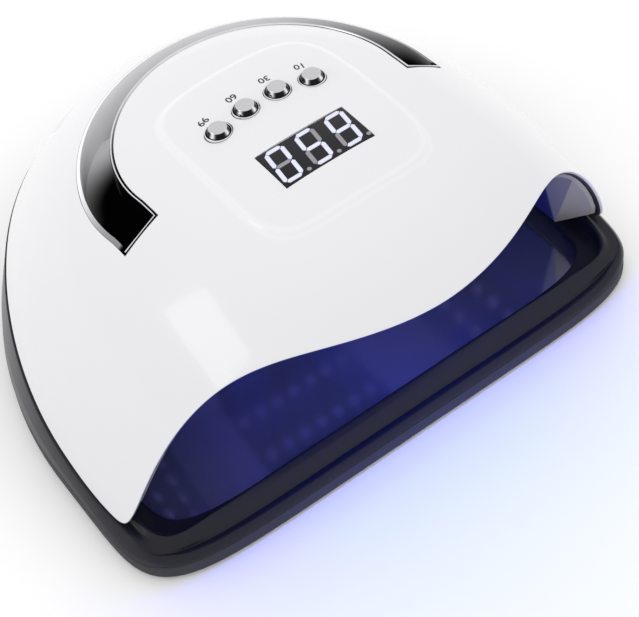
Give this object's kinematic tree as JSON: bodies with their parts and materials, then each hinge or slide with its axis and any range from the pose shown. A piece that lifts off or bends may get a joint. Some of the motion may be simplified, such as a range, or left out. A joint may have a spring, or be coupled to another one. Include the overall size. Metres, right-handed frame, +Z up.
{
  "type": "nail lamp",
  "caption": "Domed desktop curing lamp for nails: white cover over a black base, faceted hand chamber lined with light emitters, carrying slot, digit display and timer buttons.",
  "frame": {"origin": "on the surface the lamp stands on, under the centre of its bounding box", "axes": "+Z up; the hand goes in from -Y, so -Y is the front; +X is to the right of the hand"},
  "size_m": [0.23, 0.2158, 0.1154],
  "materials": {
    "tray_plastic": "fine matte",
    "foot_rubber": "matte",
    "steel": "plated",
    "black_gloss": "polished",
    "white_gloss": "polished",
    "smoke_chrome": "plated plastic, shaded dark toward the slot's ends",
    "navy_gloss": "polished",
    "display_black": "smooth",
    "segment_lit": "lit",
    "segment_dim": "unlit",
    "chrome": "mirror",
    "button_chrome": "mirror flank, matte top",
    "black_plastic": "moulded",
    "board": "solder mask",
    "chip": "moulded",
    "can": "sleeved can",
    "ribbon": "flat ribbon and plugs",
    "lens": "clear dome",
    "eye": "tinted dome"
  },
  "bodies": {
    "tray": {"tray": "tray_plastic", "rubber_feet": "foot_rubber", "tray_magnets": "steel"},
    "housing": {"steel_pads": "steel", "base_frame": "black_gloss", "top_cover": "white_gloss", "handle_liner": "smoke_chrome", "chamber_liner": "navy_gloss", "display_module": "display_black", "lit_segments": "segment_lit", "dim_segments": "segment_dim", "switches": "black_plastic", "control_board": "board", "control_chips": "chip", "capacitors": "can", "ribbon_cable": "ribbon", "led_board_top": "board", "led_board_left": "board", "led_board_right": "board", "led_board_rear": "board", "lenses_top": "lens", "lenses_left": "lens", "lenses_right": "lens", "lenses_rear": "lens", "sensor_eyes": "eye", "dc_socket": "black_plastic", "dc_pin": "steel", "cover_screws": "steel", "board_screws": "steel", "liner_screws": "steel", "button_rings": "chrome"},
    "key_99": {"button_99": "button_chrome", "plunger_99": "black_plastic"},
    "key_60": {"button_60": "button_chrome", "plunger_60": "black_plastic"},
    "key_30": {"button_30": "button_chrome", "plunger_30": "black_plastic"},
    "key_10": {"button_10": "button_chrome", "plunger_10": "black_plastic"}
  },
  "joints": [
    {"name": "housing_lift", "type": "slide", "parent": "tray", "child": "housing", "axis": [0, 0, 1], "range_m": [0, 0.06]},
    {"name": "press_99", "type": "slide", "parent": "housing", "child": "key_99", "axis": [0, -0.0785, -0.9969], "range_m": [0, 0.0005], "stiffness_N_per_m": 1500, "springref_m": -0.0004},
    {"name": "press_60", "type": "slide", "parent": "housing", "child": "key_60", "axis": [0, -0.0785, -0.9969], "range_m": [0, 0.0005], "stiffness_N_per_m": 1500, "springref_m": -0.0004},
    {"name": "press_30", "type": "slide", "parent": "housing", "child": "key_30", "axis": [0, -0.0785, -0.9969], "range_m": [0, 0.0005], "stiffness_N_per_m": 1500, "springref_m": -0.0004},
    {"name": "press_10", "type": "slide", "parent": "housing", "child": "key_10", "axis": [0, -0.0785, -0.9969], "range_m": [0, 0.0005], "stiffness_N_per_m": 1500, "springref_m": -0.0004}
  ]
}
